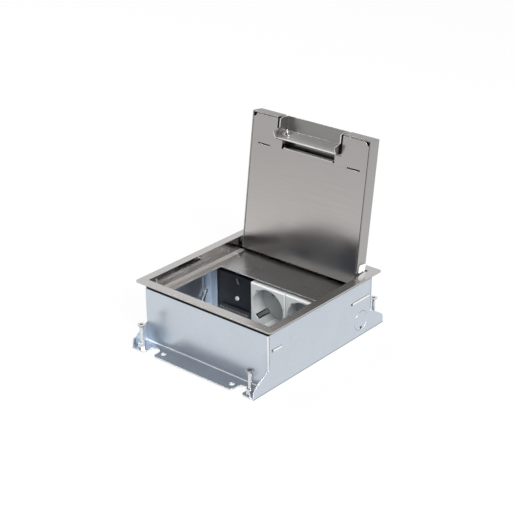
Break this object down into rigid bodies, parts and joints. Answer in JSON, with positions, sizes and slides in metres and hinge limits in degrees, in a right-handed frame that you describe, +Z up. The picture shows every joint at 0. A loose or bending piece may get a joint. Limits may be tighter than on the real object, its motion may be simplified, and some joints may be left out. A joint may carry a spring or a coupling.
{
  "type": "floor socket box",
  "caption": "Square floor socket box with foot flanges, a flush metal frame, a hinged lid with a cord flap, and earthed sockets set below a cover plate.",
  "frame": {"origin": "centre of the foot print, on the surface that the box stands on", "axes": "+X to the right along the front edge, +Y to the lid's hinge, +Z up to the finished floor"},
  "size_m": [0.172, 0.2024, 0.2003],
  "materials": {
    "galvanised_steel": "spangled zinc coating",
    "stainless_steel": "brushed",
    "bright_steel": "bright zinc plated",
    "black_rubber": "matte",
    "black_plastic": "satin",
    "white_plastic": "satin gloss",
    "grey_plastic": "matte",
    "brass": "bright"
  },
  "bodies": {
    "box": {"side_wall_left": "galvanised_steel", "side_wall_right": "galvanised_steel", "front_wall": "galvanised_steel", "rear_wall": "galvanised_steel", "base_plate": "galvanised_steel", "knockout_discs": "galvanised_steel", "levelling_bushes": "bright_steel", "earth_tab": "galvanised_steel", "floor_frame": "stainless_steel", "frame_seal": "black_rubber", "frame_brackets": "galvanised_steel", "hinge_trough": "stainless_steel", "cover_plate": "stainless_steel", "hinge_block_left": "white_plastic", "hinge_block_right": "white_plastic", "hinge_pins": "bright_steel", "carrier_bracket_left": "galvanised_steel", "carrier_bracket_right": "galvanised_steel", "carrier_cradle": "galvanised_steel", "blank_insert": "black_plastic", "insert_screw": "bright_steel", "cable_rail": "black_plastic", "socket_cover_1": "white_plastic", "socket_cover_2": "white_plastic", "socket_base_1": "grey_plastic", "socket_base_2": "grey_plastic", "contact_sleeves_1": "brass", "contact_sleeves_2": "brass", "earth_clips_1": "bright_steel", "earth_clips_2": "bright_steel"},
    "lid": {"lid_shell": "stainless_steel", "lid_inner_plate": "stainless_steel", "lid_stiffeners": "stainless_steel", "lid_stop_pegs": "bright_steel", "hinge_cheeks": "white_plastic", "flap_brackets": "stainless_steel", "flap_pivot_pins": "bright_steel"},
    "flap": {"cord_flap": "stainless_steel"},
    "levelling_screw_front_left": {"levelling_screw_front_left": "bright_steel"},
    "levelling_screw_front_right": {"levelling_screw_front_right": "bright_steel"},
    "levelling_screw_rear_left": {"levelling_screw_rear_left": "bright_steel"},
    "levelling_screw_rear_right": {"levelling_screw_rear_right": "bright_steel"}
  },
  "joints": [
    {"name": "lid_hinge", "type": "hinge", "parent": "box", "child": "lid", "pos_m": [0, 0.0673, 0.0599], "axis": [1, 0, 0], "range_deg": [0, 97.74]},
    {"name": "flap_hinge", "type": "hinge", "parent": "lid", "child": "flap", "pos_m": [0, 0.08697, 0.18085], "axis": [-1, 0, 0], "range_deg": [0, 70], "stiffness_Nm_per_rad": 0.02, "springref_deg": -28.65},
    {"name": "levelling_screw_front_left_travel", "type": "slide", "parent": "box", "child": "levelling_screw_front_left", "axis": [0, 0, -1], "range_m": [0, 0.015]},
    {"name": "levelling_screw_front_right_travel", "type": "slide", "parent": "box", "child": "levelling_screw_front_right", "axis": [0, 0, -1], "range_m": [0, 0.015]},
    {"name": "levelling_screw_rear_left_travel", "type": "slide", "parent": "box", "child": "levelling_screw_rear_left", "axis": [0, 0, -1], "range_m": [0, 0.015]},
    {"name": "levelling_screw_rear_right_travel", "type": "slide", "parent": "box", "child": "levelling_screw_rear_right", "axis": [0, 0, -1], "range_m": [0, 0.015]}
  ]
}
